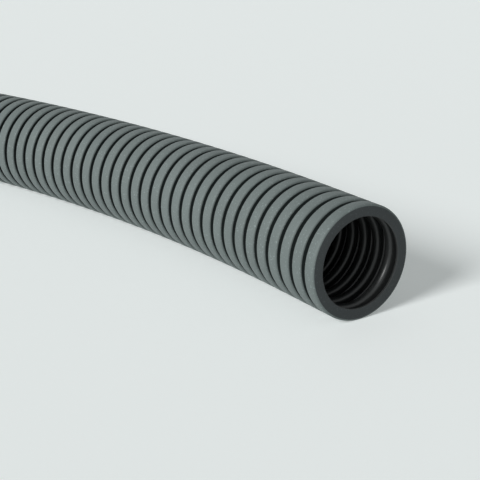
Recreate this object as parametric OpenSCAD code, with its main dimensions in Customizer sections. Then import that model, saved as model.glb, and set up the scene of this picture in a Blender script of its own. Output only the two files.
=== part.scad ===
// Corrugated pliable conduit, 25 mm size: a one-metre cut length with the set of its coil.
// One thin wall runs over every crest and groove, so the bore has a ridge wherever the outside
// has a groove. The length lies on its side: a short straight stretch at each cut end, and one
// even bend in the level plane between them. The origin is the centre of the mouth of the first
// end, whose opening faces +X. The tube leaves it towards -X and bends towards -Y.

/* [Tube] */
// Outside diameter over the crests
outer_d = 25; // [22:0.1:40]
// Diameter of the bore over its ridges
bore_d = 19.8; // [12:0.1:20]
// Thickness of the wall
wall = 0.5; // [0.3:0.05:0.6]

/* [Corrugation] */
// Distance from one crest to the next along the middle of the tube
pitch = 4.2; // [3.8:0.1:6]
// Width of a crest
crest_w = 2.9; // [2:0.1:3.2]

/* [Length and bend] */
// Length the piece is cut to, which the saw brings to the nearest groove
cut_length = 1000; // [150:1:1200]
// Radius of the bend that the coil has left, to the middle of the tube
bend_r = 440; // [300:5:900]
// Crests in the straight stretch at each end
straight_crests = 4; // [2:1:12]

/* [Hidden] */
$fn = 48;

outer_r = outer_d / 2;
bore_r = bore_d / 2;
groove_r = bore_r + wall;
groove_w = pitch - crest_w;

// How far the hole of a crest's side walls stands back from the ridge between them
ridge_step = 0.05;

crests = round((cut_length + groove_w) / pitch);
straight_l = (straight_crests - 0.5) * pitch;
bend_l = (crests - 1) * pitch - 2 * straight_l;

// Heading of the tube, in degrees, at a distance along its middle from the first crest
function heading(s) = min(max(s - straight_l, 0), bend_l) / bend_r * 180 / PI;

// Centre of the tube at that distance
function centre(s) =
    let (turn = heading(s), past = max(s - straight_l - bend_l, 0))
    [
        -crest_w / 2 - min(s, straight_l) - bend_r * sin(turn) - past * cos(turn),
        -bend_r * (1 - cos(turn)) - past * sin(turn),
        0
    ];

// Puts a child, made about the Z axis, across the tube at a distance along it
module across(s) {
    translate(centre(s)) rotate([0, 0, heading(s)]) rotate([0, -90, 0]) children();
}

// One crest: its top, its two side walls and the recess behind it
module crest() {
    difference() {
        cylinder(r = outer_r, h = crest_w, center = true);
        cylinder(r = bore_r + ridge_step, h = crest_w + 1, center = true);
        cylinder(r = outer_r - wall, h = crest_w - 2 * wall, center = true);
    }
}

// The wall at the bottom of a groove, its ends halfway into the side walls beside it
module groove_band() {
    band_l = groove_w + wall;
    difference() {
        cylinder(r = groove_r, h = band_l, center = true);
        cylinder(r = bore_r, h = band_l + 1, center = true);
    }
}

module conduit() {
    color("#74807e") {
        for (k = [0:crests - 1]) across(k * pitch) crest();
        for (k = [0:crests - 2]) across((k + 0.5) * pitch) groove_band();
    }
}

conduit();
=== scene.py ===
import math

import bmesh
import bpy
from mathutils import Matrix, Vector


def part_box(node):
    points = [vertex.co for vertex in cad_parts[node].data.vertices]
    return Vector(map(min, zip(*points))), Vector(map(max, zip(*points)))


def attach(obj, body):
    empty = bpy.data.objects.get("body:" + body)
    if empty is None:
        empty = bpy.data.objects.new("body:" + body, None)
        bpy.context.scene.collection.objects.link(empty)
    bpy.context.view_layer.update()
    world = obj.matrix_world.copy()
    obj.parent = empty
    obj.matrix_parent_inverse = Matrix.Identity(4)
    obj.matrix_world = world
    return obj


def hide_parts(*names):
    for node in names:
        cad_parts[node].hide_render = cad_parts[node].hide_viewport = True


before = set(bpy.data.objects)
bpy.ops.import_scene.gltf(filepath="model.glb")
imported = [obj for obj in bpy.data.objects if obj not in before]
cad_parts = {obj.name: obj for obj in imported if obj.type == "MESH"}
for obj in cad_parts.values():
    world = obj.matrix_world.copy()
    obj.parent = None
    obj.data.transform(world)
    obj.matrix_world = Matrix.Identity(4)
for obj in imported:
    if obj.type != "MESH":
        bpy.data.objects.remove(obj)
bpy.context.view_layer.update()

# ---- Camera -------------------------------------------------------------------------------
# It looks down at the first cut end from a hand's breadth away, with the tube running off
# behind it to the left.
floor_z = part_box("conduit")[0][2]
first_mouth = Vector((0.0, 0.0, 0.0))
eye = first_mouth + Vector((0.1690, -0.1449, 0.0812))
eye_heading = math.radians(145.78)
eye_down = math.radians(19.0)
look = Vector((
    math.cos(eye_down) * math.cos(eye_heading),
    math.cos(eye_down) * math.sin(eye_heading),
    -math.sin(eye_down),
))
camera = bpy.data.objects.new("camera", bpy.data.cameras.new("camera"))
camera.data.lens = 86.5
camera.data.sensor_width = 36.0
camera.data.clip_start = 0.01
camera.location = eye
camera.rotation_euler = look.to_track_quat("-Z", "Y").to_euler()
bpy.context.collection.objects.link(camera)
bpy.context.scene.camera = camera

# ---- Table --------------------------------------------------------------------------------
# A pale matte table top that the tube lies on. It is wide enough to fill the view, so there
# is no edge and no wall behind it. To the eye it is a little paler than the light alone makes
# it, and it keeps the tube's shadow.
table_size = 60.0
table_glow = 0.27
no_glow = 0.0


def seen(tree):
    """1 for what the eye sees, straight or in a shiny or clear surface, and 0 for other light."""
    path = tree.nodes.new("ShaderNodeLightPath")
    either = tree.nodes.new("ShaderNodeMath")
    either.operation = "MAXIMUM"
    tree.links.new(path.outputs["Is Camera Ray"], either.inputs[0])
    tree.links.new(path.outputs["Is Glossy Ray"], either.inputs[1])
    any_of_them = tree.nodes.new("ShaderNodeMath")
    any_of_them.operation = "MAXIMUM"
    tree.links.new(either.outputs[0], any_of_them.inputs[0])
    tree.links.new(path.outputs["Is Transmission Ray"], any_of_them.inputs[1])
    return any_of_them.outputs[0]


def seen_or_not(tree, strength_seen, strength_otherwise):
    """A strength that differs between what the eye sees and what lights the object."""
    strength = tree.nodes.new("ShaderNodeMapRange")
    strength.inputs["To Min"].default_value = strength_otherwise
    strength.inputs["To Max"].default_value = strength_seen
    tree.links.new(seen(tree), strength.inputs["Value"])
    return strength.outputs["Result"]


bpy.ops.object.select_all(action="DESELECT")
bpy.ops.mesh.primitive_plane_add(size=table_size, location=(0.0, 0.0, floor_z))
table = bpy.context.object
table.name = "table"
bpy.ops.object.transform_apply(location=True, rotation=True, scale=True)
table_paint = bpy.data.materials.new("table_paint")
table_paint.use_nodes = True
paint = table_paint.node_tree.nodes["Principled BSDF"]
paint.inputs["Base Color"].default_value = (0.80, 0.835, 0.83, 1.0)
paint.inputs["Roughness"].default_value = 0.75
paint.inputs["Specular IOR Level"].default_value = 0.25
paint.inputs["Emission Color"].default_value = (0.93, 0.985, 0.975, 1.0)
table_paint.node_tree.links.new(
    seen_or_not(table_paint.node_tree, table_glow, no_glow), paint.inputs["Emission Strength"]
)
table.data.materials.append(table_paint)

# ---- Light --------------------------------------------------------------------------------
# A wide soft window, fairly low and nearly square to the first end, and an even weak sky. The
# window's near edge looks a little way into the mouth, which lights the first ridge of the bore.


def far_window(name, towards, width, strength):
    """A window so far off that its light is even over the table. Its width is in degrees."""
    lamp = bpy.data.objects.new(name, bpy.data.lights.new(name, "SUN"))
    lamp.data.angle = math.radians(width)
    lamp.data.energy = strength
    lamp.rotation_euler = Vector(towards).to_track_quat("Z", "Y").to_euler()
    bpy.context.collection.objects.link(lamp)


window_towards = (0.170, -0.865, 0.473)
window_width = 21.0
window_strength = 2.9
sky_seen = 0.80
sky_light = 0.17

far_window("window", window_towards, window_width, window_strength)
sky = bpy.data.worlds.new("sky")
sky.use_nodes = True
air = sky.node_tree.nodes["Background"]
air.inputs["Color"].default_value = (0.93, 0.97, 0.97, 1.0)
sky.node_tree.links.new(
    seen_or_not(sky.node_tree, sky_seen, sky_light), air.inputs["Strength"]
)
bpy.context.scene.world = sky
bpy.context.scene.view_settings.view_transform = "Standard"

# ---- Conduit ------------------------------------------------------------------------------
# One tube of grey plastic, blow-moulded on a running chain of moulds, so a thin even wall
# follows every flat crest and narrow groove. Both ends are sawn off flush with a crest's side,
# and the tube keeps the bend of the coil that it was cut from.
outer_r = 0.0125
groove_r = 0.0104
bore_r = 0.0099
wall = 0.0005
pitch = 0.0042
crest_w = 0.0029
groove_w = pitch - crest_w
crests = 238
bend_r = 0.440
straight_crests = 4
straight_l = crest_w / 2 + (straight_crests - 0.5) * pitch
bend_angle = (crests * pitch - groove_w - 2 * straight_l) / bend_r

crest_edge = 0.0004
groove_corner = 0.0004
ridge_round = 0.0011
recess_corner = 0.0002
mouth_edge = 0.00008

speck = 0.001
weld_gap = 1e-6
join_gap = 2e-6
near = 1e-5
straight_steps = 4
smooth_below = math.radians(40)

cloud_scale = 90.0
cloud_shade = 0.06
fleck_scale = 2600.0
fleck_from, fleck_full = 0.62, 0.72
fleck_share = 0.5
fleck_brightness = 2.0
grain_scale = 1800.0
grain_rough = 0.06
grain_depth = 0.00004


def grey_plastic(name, colour, rough, gloss_level, grain):
    """Moulded plastic: a fine grain in the gloss and the surface, and faint pale flecks."""
    material = bpy.data.materials.new(name)
    material.use_nodes = True
    tree = material.node_tree
    shader = tree.nodes["Principled BSDF"]
    shader.inputs["Specular IOR Level"].default_value = gloss_level
    place = tree.nodes.new("ShaderNodeTexCoord")

    def noise(scale, detail):
        node = tree.nodes.new("ShaderNodeTexNoise")
        node.inputs["Scale"].default_value = scale
        node.inputs["Detail"].default_value = detail
        tree.links.new(place.outputs["Object"], node.inputs["Vector"])
        return node

    clouds = noise(cloud_scale, 3.0)
    tint = tree.nodes.new("ShaderNodeMapRange")
    tint.inputs["From Min"].default_value = 0.3
    tint.inputs["From Max"].default_value = 0.7
    tree.links.new(clouds.outputs["Fac"], tint.inputs["Value"])
    body = tree.nodes.new("ShaderNodeMix")
    body.data_type = "RGBA"
    body.inputs["A"].default_value = tuple(c * (1 - cloud_shade) for c in colour) + (1.0,)
    body.inputs["B"].default_value = tuple(c * (1 + cloud_shade) for c in colour) + (1.0,)
    tree.links.new(tint.outputs["Result"], body.inputs["Factor"])

    flecks = noise(fleck_scale, 1.0)
    bright = tree.nodes.new("ShaderNodeMapRange")
    bright.inputs["From Min"].default_value = fleck_from
    bright.inputs["From Max"].default_value = fleck_full
    bright.inputs["To Max"].default_value = fleck_share
    tree.links.new(flecks.outputs["Fac"], bright.inputs["Value"])
    fleck = tree.nodes.new("ShaderNodeMix")
    fleck.data_type = "RGBA"
    fleck.inputs["B"].default_value = tuple(c * fleck_brightness for c in colour) + (1.0,)
    tree.links.new(bright.outputs["Result"], fleck.inputs["Factor"])
    tree.links.new(body.outputs["Result"], fleck.inputs["A"])
    tree.links.new(fleck.outputs["Result"], shader.inputs["Base Color"])

    fine = noise(grain_scale, 2.0)
    gloss = tree.nodes.new("ShaderNodeMapRange")
    gloss.inputs["To Min"].default_value = rough - grain_rough
    gloss.inputs["To Max"].default_value = rough + grain_rough
    tree.links.new(fine.outputs["Fac"], gloss.inputs["Value"])
    tree.links.new(gloss.outputs["Result"], shader.inputs["Roughness"])
    bump = tree.nodes.new("ShaderNodeBump")
    bump.inputs["Strength"].default_value = grain
    bump.inputs["Distance"].default_value = grain_depth
    tree.links.new(fine.outputs["Fac"], bump.inputs["Height"])
    tree.links.new(bump.outputs["Normal"], shader.inputs["Normal"])
    return material


moulded_outside = grey_plastic("moulded_outside", (0.150, 0.178, 0.174), 0.55, 0.25, 0.5)
# The grooves get a near-black grey, far darker than the crests: this is painted shade for the
# shade deep in the narrow grooves, as the plastic there is the same grey.
groove_painted_shade = grey_plastic("groove_painted_shade", (0.023, 0.030, 0.029), 0.55, 0.20, 0.3)
# The bore gets a near-black grey: this is painted shade for the shade inside the tube, as the
# plastic there is the same grey as outside.
bore_painted_shade = grey_plastic("bore_painted_shade", (0.026, 0.028, 0.028), 0.36, 0.45, 0.15)
# The sawn end face gets a darker grey than the crests: this is painted shade for the face turned
# away from the window, as it is the same plastic.
end_face_painted_shade = grey_plastic("end_face_painted_shade", (0.050, 0.057, 0.059), 0.60, 0.25, 0.4)


def draw_line(along, radius, moves):
    """Draws a run of edges into the section, from a point and by moves along and out."""
    bpy.ops.mesh.select_all(action="DESELECT")
    bpy.ops.mesh.primitive_plane_add(size=speck)
    bpy.ops.mesh.merge(type="CENTER")
    bpy.ops.transform.translate(value=(along, 0.0, radius))
    for step_along, step_out in moves:
        bpy.ops.mesh.extrude_region_move(
            TRANSFORM_OT_translate={"value": (step_along, 0.0, step_out)}
        )


def round_corners(corners, width, steps):
    """Rounds the section's corners that lie at the given distances along and out."""
    bpy.ops.mesh.select_all(action="DESELECT")
    section = bmesh.from_edit_mesh(bpy.context.object.data)
    for v in section.verts:
        v.select = any(math.hypot(v.co.x - a, v.co.z - r) < near for a, r in corners)
    section.select_flush_mode()
    bpy.ops.mesh.bevel(offset=width, segments=steps, affect="VERTICES", offset_type="OFFSET")


def new_section(name):
    """An empty mesh, open for its section to be drawn."""
    bpy.ops.object.select_all(action="DESELECT")
    bpy.ops.mesh.primitive_plane_add(size=speck)
    bpy.context.object.name = name
    bpy.ops.object.mode_set(mode="EDIT")
    bpy.ops.mesh.select_mode(type="VERT")
    bpy.ops.mesh.select_all(action="SELECT")
    bpy.ops.mesh.delete(type="VERT")
    return bpy.context.object


def turn_section(sides):
    """Spins the section once round the tube's own axis."""
    bpy.ops.mesh.select_all(action="SELECT")
    bpy.ops.mesh.spin(steps=sides, angle=2 * math.pi, center=(0, 0, 0), axis=(1, 0, 0))
    bpy.ops.mesh.select_all(action="SELECT")
    bpy.ops.mesh.remove_doubles(threshold=weld_gap)
    bpy.ops.object.mode_set(mode="OBJECT")


depth = outer_r - groove_r
recess_r = outer_r - wall
recess = recess_r - bore_r
half_groove = groove_w / 2


def corrugation(name, start, sides, steps):
    """One pitch of the wall, from the middle of a groove to the middle of the next."""
    piece = new_section(name)
    a = start + half_groove
    b = a + crest_w
    draw_line(start, groove_r, [
        (half_groove, 0), (0, depth), (crest_w, 0), (0, -depth), (half_groove, 0),
    ])
    draw_line(start, bore_r, [
        (half_groove + wall, 0), (0, recess), (crest_w - 2 * wall, 0), (0, -recess),
        (half_groove + wall, 0),
    ])
    round_corners([(a, groove_r), (b, groove_r)], groove_corner, steps)
    round_corners([(a, outer_r), (b, outer_r)], crest_edge, steps)
    round_corners([(a + wall, bore_r), (b - wall, bore_r)], ridge_round, 2 * steps)
    round_corners([(a + wall, recess_r), (b - wall, recess_r)], recess_corner, 1)
    turn_section(sides)
    return piece


def sawn_end(name, mouth, inward, sides, steps):
    """The crest at a cut end: the saw has left its outer side as the tube's end face."""
    piece = new_section(name)
    shoulder = mouth + inward * crest_w
    draw_line(mouth + inward * (crest_w + half_groove), groove_r, [
        (-inward * half_groove, 0), (0, depth), (-inward * crest_w, 0), (0, bore_r - outer_r),
        (inward * wall, 0), (0, recess), (inward * (crest_w - 2 * wall), 0), (0, -recess),
        (inward * (half_groove + wall), 0),
    ])
    round_corners([(shoulder, groove_r)], groove_corner, steps)
    round_corners([(shoulder, outer_r), (mouth, outer_r)], crest_edge, steps)
    round_corners([(mouth, bore_r)], mouth_edge, 1)
    round_corners([(shoulder - inward * wall, bore_r)], ridge_round, 2 * steps)
    turn_section(sides)
    return piece


def close_cut(place):
    """Fills the flat ring between the wall's inner and outer edge, where two stretches butt.

    Filled, not bridged: a bridge can join the two edges out of step, right across the bore.
    """
    bpy.ops.object.mode_set(mode="EDIT")
    bpy.ops.mesh.select_mode(type="EDGE")
    bpy.ops.mesh.select_all(action="DESELECT")
    shell = bmesh.from_edit_mesh(bpy.context.object.data)
    for edge in shell.edges:
        edge.select = edge.is_boundary and all(abs(v.co.x - place) < near for v in edge.verts)
    bmesh.update_edit_mesh(bpy.context.object.data)
    bpy.ops.mesh.fill(use_beauty=True)
    bpy.ops.object.mode_set(mode="OBJECT")


# The tube's middle line: straight at each end, with one even bend between.
middle_line = new_section("middle_line")
bpy.ops.mesh.primitive_plane_add(size=speck)
bpy.ops.mesh.merge(type="CENTER")
for _ in range(straight_steps):
    bpy.ops.mesh.extrude_region_move(
        TRANSFORM_OT_translate={"value": (-straight_l / straight_steps, 0.0, 0.0)}
    )
bpy.ops.mesh.spin(
    steps=crests, angle=bend_angle, center=(-straight_l, -bend_r, 0.0), axis=(0, 0, -1)
)
for _ in range(straight_steps):
    bpy.ops.mesh.extrude_region_move(TRANSFORM_OT_translate={"value": (
        -straight_l / straight_steps * math.cos(bend_angle),
        -straight_l / straight_steps * math.sin(bend_angle),
        0.0,
    )})
bpy.ops.mesh.select_all(action="SELECT")
bpy.ops.mesh.remove_doubles(threshold=weld_gap)
bpy.ops.object.mode_set(mode="OBJECT")
bpy.ops.object.convert(target="CURVE")
middle_line = bpy.context.object
middle_line.data.twist_mode = "Z_UP"


def stretch(name, first, last, sides, steps):
    """The crests from first to last of the tube, laid along its middle line."""
    row_from = max(first, 1)
    row_to = min(last, crests - 2)
    start = row_from * pitch - half_groove
    piece = corrugation(name, start, sides, steps)
    row = piece.modifiers.new("row", "ARRAY")
    row.count = row_to - row_from + 1
    row.use_relative_offset = False
    row.use_constant_offset = True
    row.constant_offset_displace = (pitch, 0.0, 0.0)
    row.use_merge_vertices = True
    row.merge_threshold = weld_gap
    bpy.ops.object.modifier_apply(modifier="row")
    cuts = []
    ends = []
    if first == 0:
        ends.append(sawn_end("first_end", 0.0, 1.0, sides, steps))
    else:
        cuts.append(start)
    if last == crests - 1:
        ends.append(sawn_end("second_end", crests * pitch - groove_w, -1.0, sides, steps))
    else:
        cuts.append(start + (row_to - row_from + 1) * pitch)
    bpy.ops.object.select_all(action="DESELECT")
    for end in ends:
        end.select_set(True)
    piece.select_set(True)
    bpy.context.view_layer.objects.active = piece
    if ends:
        bpy.ops.object.join()
    bpy.ops.object.mode_set(mode="EDIT")
    bpy.ops.mesh.select_all(action="SELECT")
    bpy.ops.mesh.remove_doubles(threshold=join_gap)
    bpy.ops.object.mode_set(mode="OBJECT")
    for place in cuts:
        close_cut(place)
    bpy.ops.object.mode_set(mode="EDIT")
    bpy.ops.mesh.select_all(action="SELECT")
    bpy.ops.mesh.normals_make_consistent(inside=False)
    bpy.ops.object.mode_set(mode="OBJECT")
    plastics = (moulded_outside, groove_painted_shade, bore_painted_shade, end_face_painted_shade)
    for material in plastics:
        piece.data.materials.append(material)
    # Each face takes a colour by where it lies. The crests keep the plastic's own grey; the end
    # faces, the grooves and the bore take the darker colours of painted shade.
    saw_cuts = (0.0, crests * pitch - groove_w)
    for face in piece.data.polygons:
        out = Vector((0.0, face.center.y, face.center.z)).length
        along = face.center.x % pitch
        if min(abs(face.center.x - cut) for cut in saw_cuts) < near and out > bore_r:
            face.material_index = plastics.index(end_face_painted_shade)
        elif out > outer_r - crest_edge - near:
            face.material_index = plastics.index(moulded_outside)
        elif wall / 2 < along < crest_w - wall / 2 or out < (bore_r + groove_r) / 2:
            face.material_index = plastics.index(bore_painted_shade)
        else:
            face.material_index = plastics.index(groove_painted_shade)
    bend = piece.modifiers.new("bend", "CURVE")
    bend.object = middle_line
    bend.deform_axis = "POS_X"
    bpy.ops.object.modifier_apply(modifier="bend")
    bpy.ops.object.shade_smooth_by_angle(angle=smooth_below)
    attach(piece, "root")
    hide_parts("conduit")


stretch("conduit_first_stretch", 0, 32, 80, 3)
stretch("conduit_second_stretch", 33, 100, 48, 2)
stretch("conduit_third_stretch", 101, 168, 48, 2)
stretch("conduit_last_stretch", 169, crests - 1, 48, 2)
bpy.data.objects.remove(middle_line)
